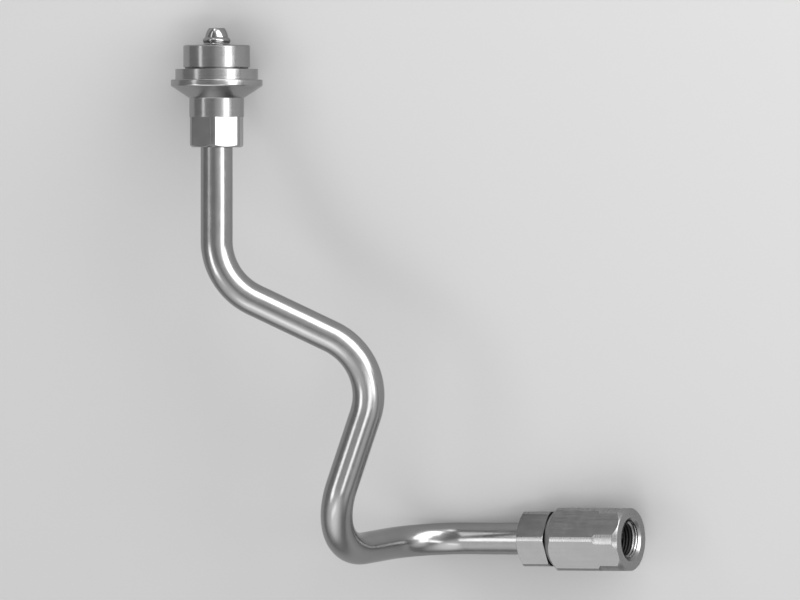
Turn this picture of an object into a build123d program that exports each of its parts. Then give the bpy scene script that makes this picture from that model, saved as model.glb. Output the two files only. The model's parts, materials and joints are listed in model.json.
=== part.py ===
from build123d import *
import os
from math import radians, tan

# Tube: five straights and four bends, read from the head to the port as a tube bender reads them.
tube_diameter = 14.0
tube_wall = 2.0
bend_radius = 28.5
head_straight = 40.5
upper_straight = 37.0
middle_straight = 33.0
lower_straight = 17.0
port_straight = 28.7
bend_angles = [64.5, 83.0, 98.0, 80.5]
bend_turns = [0.0, -169.5, 122.0, 70.0]

# Head: turned from one bar, with a spanner hexagon milled below its neck.
head_hex_across = 22.0
head_corner_diameter = 24.3
head_hex_length = 13.2
head_hex_turn = 22.7
head_end_slope = 30.0
head_end_diameter = 21.2
neck_diameter = 23.8
neck_length = 8.2
cone_length = 5.3
flange_diameter = 40.0
flange_thickness = 2.7
flange_edge = 0.4
ring_diameter = 36.0
ring_length = 4.6
relief_width = 0.8
relief_depth = 0.9
relief_face_width = 0.3
relief_face_depth = 0.2
pilot_diameter = 29.0
pilot_length = 9.6
pilot_chamfer = 0.5
head_bore = 8.0
head_socket_depth = 9.0
socket_clearance = 0.1

# Tip: a polished insert with a stem in the end of the pilot.
tip_flare_diameter = 13.2
tip_waist_diameter = 11.9
tip_waist_height = 1.0
tip_rim_diameter = 12.2
tip_rim_height = 2.0
tip_rim_bulge = 0.2
tip_crease_diameter = 10.1
tip_crease_height = 3.4
tip_barrel_bulge = 0.5
tip_top_diameter = 6.9
tip_height = 7.4
tip_orifice = 2.5
tip_orifice_length = 3.0
tip_bore = 5.0
tip_stem_diameter = 10.0
tip_stem_length = 7.0
stem_clearance = 0.1

# Port body: hexagon with a threaded mouth at one end and the seat of the tube at the other.
port_across = 27.3
port_length = 36.2
port_corner_diameter = 30.5
port_mouth_diameter = 29.4
port_mouth_length = 11.5
port_shoulder = 0.8
port_mouth_chamfer = 1.2
port_face_diameter = 24.2
port_face_slope = 50.0
port_hex_turn = 5.9
thread_bore_diameter = 16.0
thread_depth = 13.0
countersink_diameter = 19.0
countersink_half_angle = 45.0
port_bore = 10.0
tube_stop_depth = 22.0
body_neck_wall = 1.5
body_neck_length = 8.5
ferrule_seat_wall = 1.5
ferrule_seat_half_angle = 20.0

# Gland nut and its two ferrules, which grip the tube.
nut_across = 23.8
nut_length = 13.8
nut_corner_diameter = 26.5
nut_gap = 0.6
nut_end_slope = 30.0
nut_end_diameter = 23.0
nut_front_chamfer = 0.3
nut_thread_clearance = 0.2
nut_hole_clearance = 0.3
ferrule_wall = 2.0
ferrule_edge = 0.3
ferrule_clearance = 0.1
front_ferrule_rim = 1.2
back_ferrule_length = 2.4
back_ferrule_half_angle = 45.0

# Rounds of settling that find how the assembly lies on a floor
settling_steps = 40


def half_section(end):
    """Plane through a turned piece's axis: local X is the radius, local Y the distance along it."""
    return Plane(origin=end.origin, x_dir=end.x_dir, z_dir=-end.y_dir)


def cone_run(large_diameter, small_diameter, half_angle):
    """Length that a cone needs to narrow from one diameter to another."""
    return (large_diameter - small_diameter) / 2 / tan(radians(half_angle))


# Levels along the head, from the lower face of its hexagon
neck_base = head_hex_length
cone_base = neck_base + neck_length
flange_base = cone_base + cone_length
ring_base = flange_base + flange_thickness
relief_base = ring_base + ring_length
pilot_base = relief_base + relief_width
head_top = pilot_base + pilot_length
head_foot = Plane.XY
socket_diameter = tube_diameter + socket_clearance
stem_hole_diameter = tip_stem_diameter + stem_clearance
stem_hole_depth = tip_stem_length + stem_clearance

# Route of the tube: each station looks along the run that leaves it
head_seat = Plane(origin=(0, 0, head_socket_depth), x_dir=(1, 0, 0), z_dir=(0, 0, -1))
runs = [head_socket_depth + head_straight, upper_straight, middle_straight, lower_straight]
station = head_seat
corners = [station.origin]
approach = 0.0
for run, turn, angle in zip(runs, bend_turns, bend_angles):
    tangent = bend_radius * tan(radians(angle) / 2)
    corner = station.location * Pos(0, 0, approach + run + tangent) * Rot(0, 0, turn)
    bend_centre = Plane(corner * Pos(bend_radius, 0, -tangent))
    station = Plane(corner * Rot(0, angle, 0))
    corners.append(station.origin)
    approach = tangent

# Levels along the port fitting, from the face of its mouth back towards the tube
fitting_length = port_length + nut_gap + nut_length
mouth_plane = station.offset(approach + port_straight + fitting_length)
port = Plane(origin=mouth_plane.origin, x_dir=mouth_plane.x_dir, z_dir=-mouth_plane.z_dir)
neck_end = port_length + body_neck_length
nut_front = port_length + nut_gap
nut_back = nut_front + nut_length
front_ferrule_back = neck_end + front_ferrule_rim
back_ferrule_back = front_ferrule_back + back_ferrule_length
corners.append(port.offset(tube_stop_depth).origin)
ferrule_bore = tube_diameter + ferrule_clearance
ferrule_diameter = tube_diameter + 2 * ferrule_wall
ferrule_seat_diameter = tube_diameter + 2 * ferrule_seat_wall
body_neck_diameter = ferrule_seat_diameter + 2 * body_neck_wall

# Bent tube
with BuildPart() as bent_tube:
    with BuildLine() as tube_route:
        FilletPolyline(*corners, radius=bend_radius)
    with BuildSketch(head_seat) as tube_section:
        Circle(tube_diameter / 2)
        Circle(tube_diameter / 2 - tube_wall, mode=Mode.SUBTRACT)
    sweep(path=tube_route.wires()[0])
bent_tube.part.label = "bent_tube"

# Flange body
with BuildPart() as flange_body:
    with BuildSketch(head_foot) as head_hexagon:
        RegularPolygon(head_hex_across / 2, 6, major_radius=False, rotation=head_hex_turn)
    extrude(amount=head_hex_length)
    with BuildSketch(half_section(head_foot)) as head_hex_envelope:
        with BuildLine() as head_hex_outline:
            end_radius = head_end_diameter / 2
            corner_radius = head_corner_diameter / 2
            bevel = (corner_radius - end_radius) * tan(radians(head_end_slope))
            Polyline(
                (0, 0),
                (end_radius, 0),
                (corner_radius, bevel),
                (corner_radius, head_hex_length),
                (0, head_hex_length),
                close=True,
            )
        make_face()
    revolve(axis=Axis.Z, mode=Mode.INTERSECT)
    with BuildSketch(half_section(head_foot)) as head_profile:
        with BuildLine() as head_outline:
            relief_radius = pilot_diameter / 2 - relief_depth
            relief_edge = pilot_diameter / 2 + relief_face_width
            Polyline(
                (0, neck_base),
                (neck_diameter / 2, neck_base),
                (neck_diameter / 2, cone_base),
                (flange_diameter / 2, flange_base),
                (flange_diameter / 2, ring_base),
                (ring_diameter / 2, ring_base),
                (ring_diameter / 2, relief_base),
                (relief_edge, relief_base),
                (relief_radius, relief_base - relief_face_depth),
                (relief_radius, pilot_base),
                (pilot_diameter / 2, pilot_base),
                (pilot_diameter / 2, head_top - pilot_chamfer),
                (pilot_diameter / 2 - pilot_chamfer, head_top),
                (0, head_top),
                close=True,
            )
        make_face()
    revolve(axis=Axis.Z)
    flange_rims = flange_body.edges().filter_by(GeomType.CIRCLE).group_by(SortBy.RADIUS)[-1]
    fillet(flange_rims, radius=flange_edge)
    with Locations(Plane(origin=(0, 0, head_top))):
        CounterBoreHole(head_bore / 2, stem_hole_diameter / 2, stem_hole_depth)
    with Locations(Plane(origin=(0, 0, 0), z_dir=(0, 0, -1))):
        Hole(socket_diameter / 2, head_socket_depth)
flange_body.part.label = "flange_body"

# Nozzle tip
with BuildPart() as nozzle_tip:
    with BuildSketch(half_section(Plane.XY.offset(head_top))) as tip_profile:
        with BuildLine() as tip_outline:
            stem_foot = (tip_stem_diameter / 2, -tip_stem_length)
            stem_root = (tip_stem_diameter / 2, 0)
            flare = (tip_flare_diameter / 2, 0)
            waist = (tip_waist_diameter / 2, tip_waist_height)
            rim = (tip_rim_diameter / 2, tip_rim_height)
            crease = (tip_crease_diameter / 2, tip_crease_height)
            crown = (tip_top_diameter / 2, tip_height)
            orifice_mouth = (tip_orifice / 2, tip_height)
            orifice_foot = (tip_orifice / 2, tip_height - tip_orifice_length)
            bore_head = (tip_bore / 2, tip_height - tip_orifice_length)
            bore_foot = (tip_bore / 2, -tip_stem_length)
            Polyline(bore_foot, stem_foot, stem_root, flare)
            SagittaArc(flare, waist, tip_rim_bulge)
            Line(waist, rim)
            SagittaArc(rim, crease, -tip_rim_bulge)
            SagittaArc(crease, crown, -tip_barrel_bulge)
            Polyline(crown, orifice_mouth, orifice_foot, bore_head, bore_foot)
        make_face()
    revolve(axis=Axis.Z)
nozzle_tip.part.label = "nozzle_tip"

# Port body
with BuildPart() as port_body:
    with BuildSketch(port) as port_hexagon:
        RegularPolygon(port_across / 2, 6, major_radius=False, rotation=port_hex_turn)
    extrude(amount=port_length)
    with BuildSketch(half_section(port)) as port_envelope:
        with BuildLine() as port_envelope_outline:
            mouth_radius = port_mouth_diameter / 2
            hex_radius = port_corner_diameter / 2
            face_radius = port_face_diameter / 2
            face_bevel = (hex_radius - face_radius) * tan(radians(port_face_slope))
            Polyline(
                (0, 0),
                (mouth_radius - port_mouth_chamfer, 0),
                (mouth_radius, port_mouth_chamfer),
                (mouth_radius, port_mouth_length - port_shoulder),
                (hex_radius, port_mouth_length),
                (hex_radius, port_length - face_bevel),
                (face_radius, port_length),
                (0, port_length),
                close=True,
            )
        make_face()
    revolve(axis=Axis(port.origin, port.z_dir), mode=Mode.INTERSECT)
    with BuildSketch(port.offset(port_length)) as body_neck:
        Circle(body_neck_diameter / 2)
    extrude(amount=body_neck_length)
    with BuildSketch(half_section(port)) as port_passage:
        with BuildLine() as port_passage_outline:
            countersink_depth = cone_run(countersink_diameter, thread_bore_diameter, countersink_half_angle)
            ferrule_seat_depth = cone_run(ferrule_seat_diameter, socket_diameter, ferrule_seat_half_angle)
            Polyline(
                (0, 0),
                (countersink_diameter / 2, 0),
                (thread_bore_diameter / 2, countersink_depth),
                (thread_bore_diameter / 2, thread_depth),
                (port_bore / 2, thread_depth),
                (port_bore / 2, tube_stop_depth),
                (socket_diameter / 2, tube_stop_depth),
                (socket_diameter / 2, neck_end - ferrule_seat_depth),
                (ferrule_seat_diameter / 2, neck_end),
                (0, neck_end),
                close=True,
            )
        make_face()
    revolve(axis=Axis(port.origin, port.z_dir), mode=Mode.SUBTRACT)
port_body.part.label = "port_body"

# Gland nut
with BuildPart() as gland_nut:
    with BuildSketch(port.offset(nut_front)) as nut_hexagon:
        RegularPolygon(nut_across / 2, 6, major_radius=False, rotation=port_hex_turn)
    extrude(amount=nut_length)
    with BuildSketch(half_section(port)) as nut_envelope:
        with BuildLine() as nut_envelope_outline:
            nut_radius = nut_corner_diameter / 2
            nut_end_radius = nut_end_diameter / 2
            nut_bevel = (nut_radius - nut_end_radius) * tan(radians(nut_end_slope))
            Polyline(
                (0, nut_front),
                (nut_radius - nut_front_chamfer, nut_front),
                (nut_radius, nut_front + nut_front_chamfer),
                (nut_radius, nut_back - nut_bevel),
                (nut_end_radius, nut_back),
                (0, nut_back),
                close=True,
            )
        make_face()
    revolve(axis=Axis(port.origin, port.z_dir), mode=Mode.INTERSECT)
    with BuildSketch(half_section(port)) as nut_passage:
        with BuildLine() as nut_passage_outline:
            nut_thread_radius = (body_neck_diameter + nut_thread_clearance) / 2
            chamber_radius = (ferrule_diameter + nut_thread_clearance) / 2
            nut_hole_radius = (tube_diameter + nut_hole_clearance) / 2
            Polyline(
                (0, nut_front),
                (nut_thread_radius, nut_front),
                (nut_thread_radius, neck_end + nut_gap),
                (chamber_radius, neck_end + nut_gap),
                (chamber_radius, back_ferrule_back),
                (nut_hole_radius, back_ferrule_back),
                (nut_hole_radius, nut_back),
                (0, nut_back),
                close=True,
            )
        make_face()
    revolve(axis=Axis(port.origin, port.z_dir), mode=Mode.SUBTRACT)
gland_nut.part.label = "gland_nut"

# Front ferrule
with BuildPart() as front_ferrule:
    with BuildSketch(half_section(port)) as front_ferrule_profile:
        with BuildLine() as front_ferrule_outline:
            seat_radius = ferrule_seat_diameter / 2 - ferrule_clearance
            nose_radius = ferrule_bore / 2 + ferrule_edge
            nose_length = cone_run(2 * seat_radius, 2 * nose_radius, ferrule_seat_half_angle)
            dish_radius = ferrule_diameter / 2 - ferrule_edge
            dish_depth = cone_run(2 * dish_radius, 2 * nose_radius, back_ferrule_half_angle)
            Polyline(
                (ferrule_bore / 2, neck_end - nose_length),
                (nose_radius, neck_end - nose_length),
                (seat_radius, neck_end),
                (ferrule_diameter / 2, neck_end),
                (ferrule_diameter / 2, front_ferrule_back),
                (dish_radius, front_ferrule_back),
                (nose_radius, front_ferrule_back - dish_depth),
                (ferrule_bore / 2, front_ferrule_back - dish_depth),
                close=True,
            )
        make_face()
    revolve(axis=Axis(port.origin, port.z_dir))
front_ferrule.part.label = "front_ferrule"

# Back ferrule
with BuildPart() as back_ferrule:
    with BuildSketch(half_section(port)) as back_ferrule_profile:
        with BuildLine() as back_ferrule_outline:
            wedge_radius = dish_radius - ferrule_clearance
            wedge_length = cone_run(2 * wedge_radius, 2 * nose_radius, back_ferrule_half_angle)
            Polyline(
                (ferrule_bore / 2, front_ferrule_back - wedge_length),
                (nose_radius, front_ferrule_back - wedge_length),
                (wedge_radius, front_ferrule_back),
                (ferrule_diameter / 2, front_ferrule_back),
                (ferrule_diameter / 2, back_ferrule_back),
                (ferrule_bore / 2, back_ferrule_back),
                close=True,
            )
        make_face()
    revolve(axis=Axis(port.origin, port.z_dir))
back_ferrule.part.label = "back_ferrule"

# Lie: the assembly rests on the rim of its pilot, the outside of its last bend and a corner of its nut
def lowest_on_circle(centre, axis, radius, down):
    """Point of a circle that lies furthest along a direction."""
    return centre + (down - axis * axis.dot(down)).normalized() * radius


down = Vector(0, 1, 0)
pilot_rim = Plane.XY.offset(head_top - pilot_chamfer)
for _ in range(settling_steps):
    pilot_point = lowest_on_circle(pilot_rim.origin, pilot_rim.z_dir, pilot_diameter / 2, down)
    bend_point = lowest_on_circle(bend_centre.origin, bend_centre.y_dir, bend_radius, down)
    bend_point += down * (tube_diameter / 2)
    nut_point = Vector(*gland_nut.vertices().sort_by(Axis(port.origin, down))[-1])
    support = (bend_point - pilot_point).cross(nut_point - pilot_point).normalized()
    down = support * (1 if support.dot(down) > 0 else -1)
over_head = Vector(0, 0, 1) - down * down.Z
floor = Plane(origin=pilot_point, x_dir=down.cross(over_head), z_dir=-down)
pieces = [bent_tube, flange_body, nozzle_tip, port_body, gland_nut, front_ferrule, back_ferrule]
for piece in pieces:
    piece.part.move(floor.location.inverse())
extent = Compound([piece.part for piece in pieces]).bounding_box()
centring = Pos(-extent.center().X, -extent.center().Y, -extent.min.Z)
for piece in pieces:
    piece.part.move(centring)

os.makedirs("parts", exist_ok=True)
export_step(bent_tube.part, "parts/bent_tube.step")
export_step(flange_body.part, "parts/flange_body.step")
export_step(nozzle_tip.part, "parts/nozzle_tip.step")
export_step(port_body.part, "parts/port_body.step")
export_step(gland_nut.part, "parts/gland_nut.step")
export_step(front_ferrule.part, "parts/front_ferrule.step")
export_step(back_ferrule.part, "parts/back_ferrule.step")
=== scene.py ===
import bmesh
import bpy
import json
from math import acos, atan2, cos, pi, radians, sin, tan
from mathutils import Matrix, Vector


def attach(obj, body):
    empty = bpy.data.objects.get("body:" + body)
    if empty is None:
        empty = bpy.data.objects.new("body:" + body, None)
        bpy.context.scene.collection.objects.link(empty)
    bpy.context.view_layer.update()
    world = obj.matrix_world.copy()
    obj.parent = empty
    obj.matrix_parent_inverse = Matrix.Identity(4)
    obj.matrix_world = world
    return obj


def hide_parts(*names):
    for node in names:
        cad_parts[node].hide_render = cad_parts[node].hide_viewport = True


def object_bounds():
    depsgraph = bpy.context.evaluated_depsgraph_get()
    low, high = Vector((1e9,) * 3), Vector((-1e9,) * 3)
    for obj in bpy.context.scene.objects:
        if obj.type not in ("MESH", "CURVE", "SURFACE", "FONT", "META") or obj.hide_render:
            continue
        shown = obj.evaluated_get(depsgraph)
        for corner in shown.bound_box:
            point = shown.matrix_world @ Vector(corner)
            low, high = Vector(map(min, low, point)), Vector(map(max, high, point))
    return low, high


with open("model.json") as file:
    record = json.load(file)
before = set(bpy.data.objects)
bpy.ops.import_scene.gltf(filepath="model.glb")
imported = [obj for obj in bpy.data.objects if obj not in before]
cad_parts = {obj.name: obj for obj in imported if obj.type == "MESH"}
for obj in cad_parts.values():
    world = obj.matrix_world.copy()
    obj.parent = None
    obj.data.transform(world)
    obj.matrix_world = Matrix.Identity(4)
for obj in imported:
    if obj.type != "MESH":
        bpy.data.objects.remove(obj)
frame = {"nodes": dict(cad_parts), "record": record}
cad_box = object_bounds()
mounts = {mount["name"]: mount for mount in frame["record"]["mounts"]}
scene = bpy.context.scene
scene.view_settings.view_transform = "Standard"

# Photograph: its size and scale, the pixel of the head's foot, how far the port turns towards the camera,
# and the depth behind the head's axis at which the scale holds
photo_width = 800
photo_height = 600
metres_per_pixel = 0.000435
foot_pixel = (216.9, 147.5)
port_turn = radians(28)
scale_depth = 0.013

# Camera: focal length and sensor in millimetres, and how far it sees in metres
lens = 1000.0
sensor = 36.0
view_limit = 100

# Tube: its bends as the part's bend table gives them, in degrees and from the head to the port, and the
# sockets that take its ends. Tube and flange are a little slimmer than the solids, to stay inside the box
# of the solids' faceted meshes.
tube_radius = 0.006975
bore_radius = 0.005
bend_radius = 0.0285
straights = [0.0405, 0.037, 0.033, 0.017, 0.0287]
bend_angles = [64.5, 83.0, 98.0, 80.5]
bend_turns = [0.0, -169.5, 122.0, 70.0]
bend_step = 1.5
socket_radius = 0.00705
socket_depth = 0.009

# Head: its heights are above the foot of its hexagon
head_across = 0.022
head_corner_radius = 0.01215
head_end_radius = 0.0106
head_end_slope = radians(30)
hexagon_height = 0.0132
neck_radius = 0.0119
cone_foot = 0.0214
flange_foot = 0.0267
flange_radius = 0.019995
flange_top = 0.0294
ring_radius = 0.018
ring_top = 0.034
relief_radius = 0.0148
relief_start = (0.01425, 0.0339)
relief_end = (0.01445, 0.0348)
relief_bow = -0.0007
pilot_radius = 0.0145
pilot_foot = 0.0348
pilot_chamfer = 0.0005
head_top = 0.0444
head_bore_radius = 0.004
stem_hole_radius = 0.00505
stem_hole_foot = 0.0373
pilot_middle = (pilot_foot + head_top - pilot_chamfer) / 2

# Tip: radius and height above the pilot at its foot, waist, rim, crease and top, and how far each curve
# between them bows out
tip_points = [(0.0066, 0.0), (0.0056, 0.0008), (0.0061, 0.002), (0.00505, 0.0034), (0.00345, 0.0074)]
tip_bows = [-0.00015, 0.00005, 0.0002, 0.00025]
tip_orifice_radius = 0.00125
tip_orifice_length = 0.003
tip_bore_radius = 0.0025
tip_stem_radius = 0.005
tip_stem_length = 0.007

# Port body: its depths are behind the face of its mouth
port_across = 0.0273
port_mouth_radius = 0.0147
port_corner_radius = 0.01525
port_land_radius = 0.0135
port_land_slope = 1.7
port_mouth_length = 0.0107
port_shoulder = 0.0008
port_end_radius = 0.0121
port_end_slope = radians(50)
port_length = 0.0362
port_bore_radius = 0.005
tube_stop = 0.022
body_neck_radius = 0.01
body_neck_end = 0.0447
seat_radius = 0.0085
seat_half_angle = radians(20)
seat_foot = body_neck_end - (seat_radius - socket_radius) / tan(seat_half_angle)

# Thread of the port and its countersink. A flank's points have their radius and their distance from the
# crest's middle. The crests fade in and out over a share of a turn, and end a share of one from the bottom.
thread_radius = 0.008
thread_root = 0.0081
thread_crest = 0.0072
thread_round = 0.00003
thread_flank = [
    (thread_root, 0.00067),
    (thread_radius, 0.00064),
    (thread_crest + thread_round, 0.0002),
    (thread_crest, 0.00016),
]
thread_fade = 0.4
thread_rest = 0.5
thread_pitch = 0.0015
thread_depth = 0.013
countersink_radius = 0.0095
countersink_slope = 1.0
countersink_depth = (countersink_radius - thread_radius) / countersink_slope
thread_middle = (countersink_depth + thread_depth) / 2

# Gland nut, behind the port body on the same axis
nut_across = 0.0238
nut_corner_radius = 0.01325
nut_front_radius = 0.01295
nut_end_radius = 0.0115
nut_end_slope = radians(30)
nut_hole_radius = 0.00715
nut_thread_radius = 0.0101
nut_chamber_radius = 0.0091
nut_chamber_foot = 0.0453
nut_chamber_top = 0.0483
nut_length = 0.0138
nut_gap = 0.0006
nut_foot = port_length + nut_gap
nut_top = nut_foot + nut_length

# Meshes: unit of the broken edges' widths and the share of a side that one may take, columns round a
# turned piece in degrees, the room and the pair at a flat's edge in radians, and what is merged or sharp
edge = 0.0001
edge_share = 0.4
edge_steps = (0, 0.25, 0.5, 0.75, 1)
column_step = 2.5
column_room = 0.02
column_pair = 0.005
round_sides = 96
bow_steps = 12
merge_distance = 0.0000005
sliver_length = 0.0000002
sharp_angle = radians(35)
normal_weight = 100

# Limits by which a face is told to lie along an axis, on a flat or on the rear chamfer
side_tilt = 0.001
flat_tilt = 0.01
flat_distance = 0.00001
chamfer_rise = (0.3, 0.9)

# Steel: its edge tint, noise features for each metre, how far each noise moves the tone, and how fast a
# drawn finish changes along its grain, as a share of how fast it changes across
edge_tint = 0.85
coarse_scale = 1500
fine_scale = 7000
mottle_scale = 260
patch_scale = 45
coarse_tone = 0.03
mottle_tone = 0.025
patch_tone = 0.04
fine_height = 0.3
noise_low = 0.3
noise_high = 0.7
grain_stretch = 0.03
micron = 0.000001

# Painted shade in the port's bore, darker with depth: the depths between which it sets in, its tone and its
# added roughness
bore_shade_start = 0.0026
bore_shade_end = 0.0042
bore_shade_tone = 0.12
bore_shade_roughness = 0.4

# Floor
floor_size = 60
floor_tone = 0.48
floor_roughness = 0.9

# World: its even level, and soft round glows by azimuth, elevation, outer angle, inner angle and strength
world_level = 0.34
glows = [
    (32, 25, 56, 15, 0.6),
    (-45, -45, 50, 15, 0.75),
    (-10, 66, 32, 12, 0.8),
    (-10, -62, 40, 15, 0.6),
    (53, -24, 24, 4, 0.7),
]

# Lamps: name, azimuth, elevation, width, height, roll and radiance. An area lamp shines at a quarter of
# its watts for each square metre.
lamp_distance = 1.2
lamp_watts = 4
lamps = [
    ("key_top", 28, 44, 50, 32, 0, 3.2),
    ("key_middle", 41, 19, 43, 20, 0, 3.2),
    ("key_foot", 39, -4, 22, 26, 0, 2.9),
    ("low_strip", 12, -21, 30, 12, 30, 2.8),
    ("low_fill", -36, -46, 26, 12, 10, 0.8),
    ("left_strip", -59.5, 25, 10, 42, 0, 1.55),
    ("left_foot", -57, -12, 16, 20, 0, 2.6),
    ("upper_strip", -46, 59, 12, 12, -30, 1.9),
]


def frame_at(origin, x_axis, y_axis, z_axis):
    """Matrix of a frame with these axes at this origin."""
    return Matrix.Translation(origin) @ Matrix((x_axis, y_axis, z_axis)).transposed().to_4x4()


# Frames at the foot of the head and the mouth of the port, each with Z into its piece. The head's X and Y
# are the photograph's right and away.
head_axis = Vector(mounts["head_pilot"]["axis"]).normalized()
port_axis = Vector(mounts["port_thread"]["axis"]).normalized()
level_port = (port_axis - head_axis * port_axis.dot(head_axis)).normalized()
right = Matrix.Rotation(port_turn, 3, head_axis) @ level_port
away = head_axis.cross(right)
head_foot = Vector(mounts["head_pilot"]["pos_m"]) - head_axis * pilot_middle
head_frame = frame_at(head_foot, right, away, head_axis)
mouth = Vector(mounts["port_thread"]["pos_m"]) + port_axis * thread_middle
port_side = head_axis.cross(port_axis).normalized()
port_frame = frame_at(mouth, port_side, -port_axis.cross(port_side), -port_axis)


def add_camera():
    """Camera that looks square on the head's axis, with the photograph's framing."""
    centre = head_foot + right * (photo_width / 2 - foot_pixel[0]) * metres_per_pixel
    centre = centre - head_axis * (photo_height / 2 - foot_pixel[1]) * metres_per_pixel
    centre = centre + away * scale_depth
    distance = lens / sensor * photo_width * metres_per_pixel
    data = bpy.data.cameras.new("camera")
    data.lens = lens
    data.sensor_width = sensor
    data.clip_end = view_limit
    camera = bpy.data.objects.new("camera", data)
    camera.matrix_world = frame_at(centre - away * distance, right, head_axis, -away)
    scene.collection.objects.link(camera)
    scene.camera = camera


def link_node(tree, kind, **values):
    """Shader node with its settings and its inputs, by number as in_0. A socket among them is linked."""
    node = tree.nodes.new(kind)
    for name, value in values.items():
        if name.startswith("in_"):
            socket = node.inputs[int(name[3:])]
            if isinstance(value, bpy.types.NodeSocket):
                tree.links.new(value, socket)
            else:
                socket.default_value = value
        else:
            setattr(node, name, value)
    return node


def maths(tree, operation, first, second=0.0, third=0.0):
    node = link_node(tree, "ShaderNodeMath", operation=operation, in_0=first, in_1=second, in_2=third)
    return node.outputs[0]


def vector_maths(tree, operation, first, second=(0, 0, 0)):
    node = link_node(tree, "ShaderNodeVectorMath", operation=operation, in_0=first, in_1=second)
    return node.outputs["Value" if operation in ("DOT_PRODUCT", "LENGTH") else "Vector"]


def noise(tree, dimensions, place, scale, detail, roughness):
    node = tree.nodes.new("ShaderNodeTexNoise")
    node.noise_dimensions = dimensions
    tree.links.new(place, node.inputs["W" if dimensions == "1D" else "Vector"])
    node.inputs["Scale"].default_value = scale
    node.inputs["Detail"].default_value = detail
    node.inputs["Roughness"].default_value = roughness
    return node.outputs["Fac"]


def spread(tree, value, reach):
    """Noise moved to a range from minus reach to reach."""
    limits = {"in_1": noise_low, "in_2": noise_high, "in_3": -reach, "in_4": reach}
    return link_node(tree, "ShaderNodeMapRange", in_0=value, **limits).outputs[0]


def grey(tree, value):
    return link_node(tree, "ShaderNodeCombineColor", in_0=value, in_1=value, in_2=value).outputs[0]


def steel(name, colour, roughness, lines, line_depth, mottle_depth, roughness_spread=0.05, shade=None):
    """
    Bright steel with tool lines, mottle and slow patches. Lines gives the coordinate across which the tool
    lines follow each other. Shade, where there is one, gives a factor on the colour, and the finish is
    rougher where it is low.
    """
    material = bpy.data.materials.new(name)
    material.use_nodes = True
    tree = material.node_tree
    shader = tree.nodes["Principled BSDF"]
    shader.inputs["Metallic"].default_value = 1
    shader.inputs["Specular Tint"].default_value = (edge_tint, edge_tint, edge_tint, 1)
    place = tree.nodes.new("ShaderNodeTexCoord").outputs["Object"]
    dimensions, across = lines(tree, place)
    coarse = noise(tree, dimensions, across, coarse_scale, detail=3, roughness=0.6)
    fine = noise(tree, dimensions, across, fine_scale, detail=2, roughness=0.5)
    mottle = noise(tree, "3D", place, mottle_scale, detail=4, roughness=0.6)
    patch = noise(tree, "3D", place, patch_scale, detail=2, roughness=0.5)

    tone = maths(tree, "ADD", spread(tree, coarse, coarse_tone), spread(tree, patch, patch_tone))
    tone = maths(tree, "ADD", tone, spread(tree, mottle, mottle_tone))
    tone = maths(tree, "MULTIPLY_ADD", tone, colour, colour)
    # Painted shade: the colour and the edge tint fall by the factor, and the roughness rises where it is
    # low
    if shade:
        factor = shade(tree, place)
        roughness = maths(tree, "MULTIPLY_ADD", factor, -bore_shade_roughness, roughness + bore_shade_roughness)
        tone = maths(tree, "MULTIPLY", tone, factor)
        tint = grey(tree, maths(tree, "MULTIPLY", factor, edge_tint))
        tree.links.new(tint, shader.inputs["Specular Tint"])
    tree.links.new(grey(tree, tone), shader.inputs["Base Color"])

    rough = maths(tree, "ADD", spread(tree, coarse, roughness_spread / 2), roughness)
    rough = maths(tree, "ADD", rough, spread(tree, mottle, roughness_spread / 2))
    tree.links.new(rough, shader.inputs["Roughness"])

    groove = tree.nodes.new("ShaderNodeBump")
    groove.inputs["Distance"].default_value = line_depth
    tree.links.new(maths(tree, "MULTIPLY_ADD", fine, fine_height, coarse), groove.inputs["Height"])
    dents = tree.nodes.new("ShaderNodeBump")
    dents.inputs["Distance"].default_value = mottle_depth
    tree.links.new(mottle, dents.inputs["Height"])
    tree.links.new(groove.outputs[0], dents.inputs["Normal"])
    tree.links.new(dents.outputs[0], shader.inputs["Normal"])
    return material


def turned(piece_frame):
    """Tool rings round a turned piece's axis, which follow each other along it and outwards from it."""
    origin = piece_frame.translation
    axis = piece_frame.col[2].to_3d()

    def lines(tree, place):
        arm = vector_maths(tree, "SUBTRACT", place, tuple(origin))
        along = vector_maths(tree, "DOT_PRODUCT", arm, tuple(axis))
        out = vector_maths(tree, "LENGTH", vector_maths(tree, "CROSS_PRODUCT", arm, tuple(axis)))
        return "1D", maths(tree, "ADD", along, out)

    return lines


def drawn(piece_frame):
    """Lines along a drawn bar: the finish changes quickly across the axis and slowly along it."""
    origin = piece_frame.translation
    axis = piece_frame.col[2].to_3d()

    def lines(tree, place):
        arm = vector_maths(tree, "SUBTRACT", place, tuple(origin))
        along = vector_maths(tree, "DOT_PRODUCT", arm, tuple(axis))
        back = link_node(tree, "ShaderNodeVectorMath", operation="SCALE", in_0=tuple(axis))
        tree.links.new(maths(tree, "MULTIPLY", along, grain_stretch - 1), back.inputs["Scale"])
        return "3D", vector_maths(tree, "ADD", arm, back.outputs["Vector"])

    return lines


def drawn_tube(tree, place):
    """Lines along the tube, from the grain that its mesh carries."""
    grain = tree.nodes.new("ShaderNodeAttribute")
    grain.attribute_name = "grain"
    return "3D", grain.outputs["Vector"]


def painted_bore_shade(tree, place):
    """Painted shade: a colour factor that falls with the depth in the port's bore, where shade falls."""
    arm = vector_maths(tree, "SUBTRACT", place, tuple(port_frame.translation))
    depth = vector_maths(tree, "DOT_PRODUCT", arm, tuple(port_frame.col[2].to_3d()))
    limits = {"in_1": bore_shade_start, "in_2": bore_shade_end, "in_3": 1.0, "in_4": bore_shade_tone}
    return link_node(tree, "ShaderNodeMapRange", in_0=depth, **limits).outputs[0]


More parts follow.
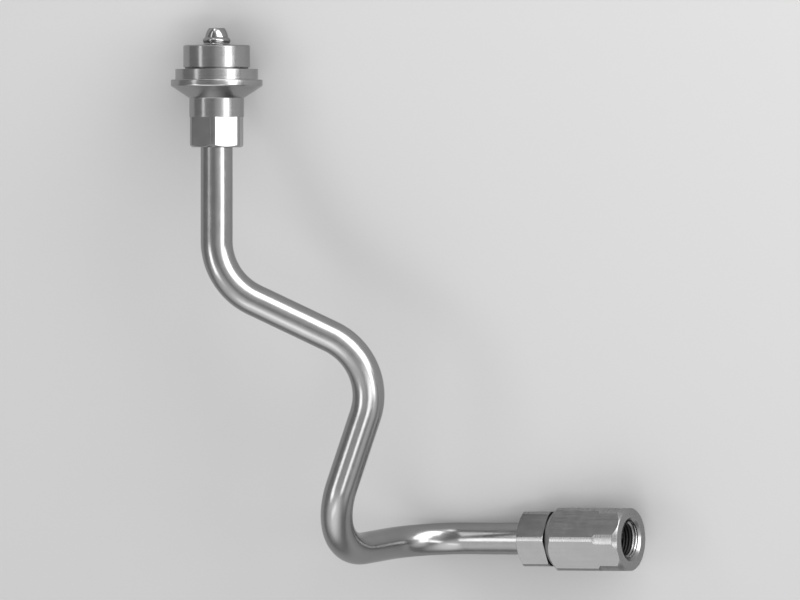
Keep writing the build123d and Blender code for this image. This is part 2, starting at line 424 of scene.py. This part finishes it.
def finish_mesh(name, verts, faces, material, node=None):
    """Piece of the object from its points and faces. It replaces the CAD node that it stands for."""
    mesh = bpy.data.meshes.new(name)
    mesh.from_pydata(verts, [], faces)
    builder = bmesh.new()
    builder.from_mesh(mesh)
    bmesh.ops.remove_doubles(builder, verts=builder.verts, dist=merge_distance)
    bmesh.ops.dissolve_degenerate(builder, edges=builder.edges, dist=sliver_length)
    bmesh.ops.recalc_face_normals(builder, faces=builder.faces)
    builder.to_mesh(mesh)
    builder.free()
    mesh.shade_smooth()
    mesh.set_sharp_from_angle(angle=sharp_angle)
    mesh.materials.append(material)
    piece = bpy.data.objects.new(name, mesh)
    scene.collection.objects.link(piece)
    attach(piece, "root")
    if node:
        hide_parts(node)
    return piece


def tube_path():
    """Frames along the tube's axis, from its end in the head to its end in the port."""
    station = head_frame @ Matrix.Translation((0, 0, socket_depth)) @ Matrix.Rotation(pi, 4, "X")
    last_run = straights[-1] + nut_length + nut_gap + port_length - tube_stop
    runs = [socket_depth + straights[0]] + straights[1:-1] + [last_run]
    stations = [station]
    for index, run in enumerate(runs):
        station = station @ Matrix.Translation((0, 0, run))
        stations.append(station)
        if index < len(bend_angles):
            station = station @ Matrix.Rotation(radians(bend_turns[index]), 4, "Z")
            steps = round(bend_angles[index] / bend_step)
            centre = station @ Matrix.Translation((bend_radius, 0, 0))
            for step in range(1, steps + 1):
                turn = Matrix.Rotation(radians(bend_angles[index]) * step / steps, 4, "Y")
                stations.append(centre @ turn @ Matrix.Translation((-bend_radius, 0, 0)))
            station = stations[-1]
    return stations


def add_tube(material):
    """Drawn tube with its bore. Its mesh carries the grain: the place round the tube and along it."""
    stations = tube_path()
    reference = stations[0].col[0].to_3d()
    verts = []
    grain = []
    length = 0.0
    for index, station in enumerate(stations):
        direction = station.col[2].to_3d()
        reference = (reference - direction * reference.dot(direction)).normalized()
        side = direction.cross(reference)
        if index:
            length += (station.translation - stations[index - 1].translation).length
        for radius in (tube_radius, bore_radius):
            for step in range(round_sides):
                angle = 2 * pi * step / round_sides
                spoke = reference * cos(angle) + side * sin(angle)
                verts.append(station.translation + spoke * radius)
                grain.append((cos(angle) * radius, sin(angle) * radius, length * grain_stretch))
    faces = []
    ring = 2 * round_sides
    last = (len(stations) - 1) * ring
    for step in range(round_sides):
        after = (step + 1) % round_sides
        bore = round_sides + step
        bore_after = round_sides + after
        for index in range(len(stations) - 1):
            low = index * ring
            high = low + ring
            faces.append((low + step, low + after, high + after, high + step))
            faces.append((low + bore_after, low + bore, high + bore, high + bore_after))
        faces.append((after, step, bore, bore_after))
        faces.append((last + step, last + after, last + bore_after, last + bore))
    piece = finish_mesh("drawn_tube", verts, faces, material, "bent_tube")
    attribute = piece.data.attributes.new("grain", "FLOAT_VECTOR", "POINT")
    attribute.data.foreach_set("vector", [value for point in grain for value in point])


def flat_angle(node, place):
    """Direction of a flat round the axis, from the largest face along the axis of its CAD node."""
    axis = place.col[2].to_3d()
    sides = [face for face in frame["nodes"][node].data.polygons if abs(face.normal.dot(axis)) < side_tilt]
    normal = max(sides, key=lambda face: face.area).normal
    return atan2(normal.dot(place.col[1].to_3d()), normal.dot(place.col[0].to_3d()))


def columns_round(across, corners):
    """Angles over a sixth of a turn, from the middle of a flat, with a close pair at each of its edges."""
    count = round(60 / column_step)
    if not across:
        return [radians(step * column_step) for step in range(count)]
    angles = [radians(step * column_step) for step in range(-count // 2, count // 2)]
    for corner in corners:
        flat_edge = acos(across / 2 / corner)
        angles = [angle for angle in angles if abs(abs(angle) - flat_edge) > column_room]
        angles += [sign * flat_edge + turn for sign in (-1, 1) for turn in (-column_pair, column_pair)]
    return sorted(angles)


def broken(points):
    """Closed outline with its edges rounded, each by the width that its point gives in units of edge."""
    rounded = []
    for index, (radius, level, width) in enumerate(points):
        here = Vector((radius, level))
        before = Vector(points[index - 1][:2]) - here
        after = Vector(points[(index + 1) % len(points)][:2]) - here
        if not width:
            rounded.append(here)
            continue
        first = here + before.normalized() * min(width * edge, before.length * edge_share)
        last = here + after.normalized() * min(width * edge, after.length * edge_share)
        for step in edge_steps:
            rounded.append(first * (1 - step) ** 2 + here * 2 * step * (1 - step) + last * step ** 2)
    return rounded


def on_flat(spot, normal, across, start):
    """Whether a face with this centre and normal, in its piece's frame, lies on a flat of the hexagon."""
    facing = atan2(normal.y, normal.x)
    turn = (facing - start + pi / 6) % (pi / 3) - pi / 6
    reach = spot.x * cos(facing) + spot.y * sin(facing)
    square = abs(normal.z) < flat_tilt and abs(turn) < flat_tilt
    return square and abs(reach - across / 2) < flat_distance


def port_finish(spot, normal):
    """Number of the port body's material at a face off the flats: the rear chamfer's rough steel with a
    painted highlight, the bore's with painted shade, or the rest.
    """
    if spot.z > port_length / 2 and chamfer_rise[0] < normal.z < chamfer_rise[1]:
        return 3
    if spot.xy.length < thread_radius + 2 * edge and spot.z > countersink_depth - edge:
        return 2
    return 0


def add_turned(name, node, place, outline, materials, across=0, corners=(0,), finish=None):
    """
    Piece turned round its frame's Z axis, with a hexagon where across is given. Its outline is a function
    of the radius that the hexagon leaves. The flats have the second material, the rest has the first,
    or the one whose number finish gives for a face's centre and normal.
    """
    start = flat_angle(node, place) if across else 0
    verts = []
    for sector in range(6):
        for angle in columns_round(across, corners):
            limit = min(across / 2 / cos(angle), max(corners))
            turn = start + sector * pi / 3 + angle
            for radius, level in broken(outline(limit)):
                verts.append(place @ Vector((radius * cos(turn), radius * sin(turn), level)))
    count = len(broken(outline(max(corners))))
    total = len(verts) // count
    faces = []
    for column in range(total):
        low = column * count
        high = (column + 1) % total * count
        for index in range(count):
            after = (index + 1) % count
            faces.append((low + index, high + index, high + after, low + after))
    piece = finish_mesh(name, verts, faces, materials[0], node)
    for material in materials[1:]:
        piece.data.materials.append(material)
    for polygon in piece.data.polygons if across else []:
        spot = place.inverted() @ polygon.center
        normal = place.to_3x3().inverted() @ polygon.normal
        if on_flat(spot, normal, across, start):
            polygon.material_index = 1
        elif finish:
            polygon.material_index = finish(spot, normal)
    weighted = piece.modifiers.new("normals", "WEIGHTED_NORMAL")
    weighted.weight = normal_weight
    weighted.keep_sharp = True
    bpy.context.view_layer.update()
    evaluated = piece.evaluated_get(bpy.context.evaluated_depsgraph_get())
    finished = bpy.data.meshes.new_from_object(evaluated)
    piece.modifiers.clear()
    piece.data = finished


def bowed(start, end, bow):
    """Points of an outline from start up to end, without the end, on a curve that bows out by bow."""
    chord = Vector(end) - Vector(start)
    out = Vector((chord.y, -chord.x)).normalized()
    points = []
    for step in range(bow_steps):
        share = step / bow_steps
        point = Vector(start) + chord * share + out * bow * 4 * share * (1 - share)
        points.append((point.x, point.y, 0))
    return points


def head_outline(limit):
    """Outline of the flange body: radius, height and width of the broken edge at each point."""
    return [
        (socket_radius, 0, 1),
        (head_end_radius, 0, 1),
        (limit, (limit - head_end_radius) * tan(head_end_slope), 1),
        (limit, hexagon_height, 1),
        (neck_radius, hexagon_height, 0.8),
        (neck_radius, cone_foot, 1.5),
        (flange_radius, flange_foot, 5),
        (flange_radius, flange_top, 5),
        (ring_radius, flange_top, 1),
        (ring_radius, ring_top, 1.5),
        (relief_radius, ring_top, 0.5),
        *bowed(relief_start, relief_end, relief_bow),
        (pilot_radius, pilot_foot, 1),
        (pilot_radius, head_top - pilot_chamfer, 0.6),
        (pilot_radius - pilot_chamfer, head_top, 0.6),
        (stem_hole_radius, head_top, 1),
        (stem_hole_radius, stem_hole_foot, 0),
        (head_bore_radius, stem_hole_foot, 0),
        (head_bore_radius, socket_depth, 0),
        (socket_radius, socket_depth, 0),
    ]


def tip_outline(limit):
    """Outline of the nozzle tip, with its foot on the end of the pilot. It is round and needs no limit."""
    top_radius, tip_height = tip_points[-1]
    tip_top = head_top + tip_height
    stem_foot = head_top - tip_stem_length
    orifice_foot = tip_top - tip_orifice_length
    points = [(tip_bore_radius, stem_foot, 0), (tip_stem_radius, stem_foot, 0)]
    points.append((tip_stem_radius, head_top, 0))
    for start, end, bow in zip(tip_points, tip_points[1:], tip_bows):
        points += bowed((start[0], head_top + start[1]), (end[0], head_top + end[1]), bow)
    points += [(top_radius, tip_top, 1.2), (tip_orifice_radius, tip_top, 0.8)]
    return points + [(tip_orifice_radius, orifice_foot, 0), (tip_bore_radius, orifice_foot, 0)]


def port_outline(limit):
    """Outline of the port body, from the face of its mouth back along its axis."""
    mouth_radius = min(limit, port_mouth_radius)
    corner_share = (limit - port_mouth_radius) / (port_corner_radius - port_mouth_radius)
    return [
        (countersink_radius, 0, 0.8),
        (port_land_radius, 0, 1),
        (mouth_radius, (mouth_radius - port_land_radius) * port_land_slope, 1),
        (mouth_radius, port_mouth_length, 0.8),
        (limit, port_mouth_length + port_shoulder * min(max(corner_share, 0), 1), 0.8),
        (limit, port_length - (limit - port_end_radius) * tan(port_end_slope), 1),
        (port_end_radius, port_length, 1),
        (body_neck_radius, port_length, 0),
        (body_neck_radius, body_neck_end, 0),
        (seat_radius, body_neck_end, 0),
        (socket_radius, seat_foot, 0),
        (socket_radius, tube_stop, 0),
        (port_bore_radius, tube_stop, 0),
        (port_bore_radius, thread_depth, 0),
        (thread_radius, thread_depth, 0),
        (thread_radius, countersink_depth, 0.5),
    ]


def nut_outline(limit):
    """Outline of the gland nut, on the port body's axis and from the same face."""
    return [
        (nut_thread_radius, nut_foot, 0.8),
        (min(limit, nut_front_radius), nut_foot, 0.6),
        (limit, nut_foot + max(0, limit - nut_front_radius), 0.6),
        (limit, nut_top - (limit - nut_end_radius) * tan(nut_end_slope), 1),
        (nut_end_radius, nut_top, 0.8),
        (nut_hole_radius, nut_top, 1),
        (nut_hole_radius, nut_chamber_top, 0),
        (nut_chamber_radius, nut_chamber_top, 0),
        (nut_chamber_radius, nut_chamber_foot, 0),
        (nut_thread_radius, nut_chamber_foot, 0),
    ]


def add_thread(material):
    """Crests of the port's internal thread, cut back where they run out into the countersink."""
    start = countersink_depth - thread_pitch / 2
    turns = (thread_depth - start) / thread_pitch - thread_rest
    steps = int(turns * round_sides)
    section = [(radius, -offset) for radius, offset in thread_flank] + thread_flank[::-1]
    verts = []
    for step in range(steps + 1):
        angle = 2 * pi * step / round_sides + pi
        level = start + thread_pitch * step / round_sides
        turn = step / round_sides
        fade = max(thread_fade - turn, turn - (turns - thread_fade), 0.0) / thread_fade
        for radius, offset in section:
            depth = level + offset
            cut = countersink_radius - depth * countersink_slope
            radius = radius + (thread_root - radius) * min(1.0, fade)
            radius = min(max(radius, cut), thread_root)
            verts.append(port_frame @ Vector((radius * cos(angle), radius * sin(angle), depth)))
    count = len(section)
    faces = [tuple(range(count)), tuple(steps * count + index for index in reversed(range(count)))]
    for step in range(steps):
        for index in range(count):
            after = (index + 1) % count
            low = step * count
            faces.append((low + index, low + after, low + count + after, low + count + index))
    finish_mesh("port_thread_crests", verts, faces, material)


def add_floor():
    bpy.ops.mesh.primitive_plane_add(size=floor_size, location=(0, 0, 0))
    floor = bpy.context.object
    floor.name = "floor"
    material = bpy.data.materials.new("floor")
    material.use_nodes = True
    tree = material.node_tree
    shader = tree.nodes["Principled BSDF"]
    shader.inputs["Base Color"].default_value = (floor_tone, floor_tone, floor_tone, 1)
    shader.inputs["Roughness"].default_value = floor_roughness
    shader.inputs["Specular IOR Level"].default_value = 0
    floor.data.materials.append(material)


def direction(azimuth, elevation):
    """Direction in the photo's frame: azimuth to the camera's right, elevation towards the photo's top."""
    turn = radians(azimuth)
    rise = radians(elevation)
    return (right * sin(turn) - away * cos(turn)) * cos(rise) + head_axis * sin(rise)


def area_lamp(name, azimuth, elevation, width, height, roll, radiance):
    """Rectangular lamp, with its width and height as angles seen from the object."""
    back = direction(azimuth, elevation)
    across = Matrix.Rotation(radians(roll), 3, back) @ head_axis.cross(back).normalized()
    data = bpy.data.lights.new(name, "AREA")
    data.shape = "RECTANGLE"
    data.size = 2 * lamp_distance * tan(radians(width / 2))
    data.size_y = 2 * lamp_distance * tan(radians(height / 2))
    data.energy = radiance * lamp_watts * data.size * data.size_y
    lamp = bpy.data.objects.new(name, data)
    middle = (Vector(cad_box[0]) + Vector(cad_box[1])) / 2
    lamp.matrix_world = frame_at(middle + back * lamp_distance, across, back.cross(across), back)
    scene.collection.objects.link(lamp)


def glow(tree, place, azimuth, elevation, outer, inner, strength):
    """Soft round glow of the world about a direction: full inside the inner angle, none past the outer."""
    near = vector_maths(tree, "DOT_PRODUCT", place, tuple(direction(azimuth, elevation)))
    limits = {"in_1": cos(radians(outer)), "in_2": cos(radians(inner)), "in_3": 0.0, "in_4": strength}
    node = link_node(tree, "ShaderNodeMapRange", interpolation_type="SMOOTHSTEP", in_0=near, **limits)
    return node.outputs[0]


def add_light():
    world = bpy.data.worlds.new("studio")
    world.use_nodes = True
    scene.world = world
    tree = world.node_tree
    place = tree.nodes.new("ShaderNodeTexCoord").outputs["Generated"]
    light = world_level
    for values in glows:
        light = maths(tree, "ADD", light, glow(tree, place, *values))
    tree.links.new(light, tree.nodes["Background"].inputs["Strength"])
    tree.nodes["Background"].inputs["Color"].default_value = (1, 1, 1, 1)
    for values in lamps:
        area_lamp(*values)


# Materials: each steel's colour, roughness and lines, and the depths of its lines and its mottle
turned_head = steel("turned_head", 0.34, 0.2, turned(head_frame), 4 * micron, 1.5 * micron)
milled_head = steel("milled_head", 0.34, 0.2, drawn(head_frame), 0.2 * micron, 1.5 * micron)
polished = steel(
    "polished", 0.32, 0.06, turned(head_frame), 0.2 * micron, 0.5 * micron, roughness_spread=0.02
)
turned_port = steel("turned_port", 0.31, 0.28, turned(port_frame), 1.5 * micron, 1.5 * micron)
milled_port = steel("milled_port", 0.35, 0.19, drawn(port_frame), 0.2 * micron, 2 * micron)
# The thread's steel carries painted shade that darkens the port's bore with depth
cut_thread = steel("cut_thread", 0.34, 0.25, turned(port_frame), 0.8 * micron, micron, shade=painted_bore_shade)
# Rear chamfer: a rougher finish, and a lighter colour that paints in a brighter reflection
rough_painted_highlight = steel("rough_painted_highlight", 0.38, 0.5, turned(port_frame), 3 * micron, 2 * micron)
tube_steel = steel("tube", 0.315, 0.22, drawn_tube, 0.4 * micron, 1.2 * micron)

# Pieces
add_camera()
add_tube(tube_steel)
add_turned(
    "turned_flange_body", "flange_body", head_frame, head_outline,
    [turned_head, milled_head], across=head_across, corners=(head_corner_radius,),
)
add_turned("polished_tip", "nozzle_tip", head_frame, tip_outline, [polished])
add_turned(
    "milled_port_body", "port_body", port_frame, port_outline,
    [turned_port, milled_port, cut_thread, rough_painted_highlight],
    across=port_across, corners=(port_mouth_radius, port_corner_radius), finish=port_finish,
)
add_turned(
    "milled_gland_nut", "gland_nut", port_frame, nut_outline,
    [turned_port, milled_port], across=nut_across, corners=(nut_corner_radius,),
)
for hidden in ("front_ferrule", "back_ferrule"):
    for material_slot in frame["nodes"][hidden].material_slots:
        material_slot.material = turned_port
add_thread(cut_thread)
add_floor()
add_light()
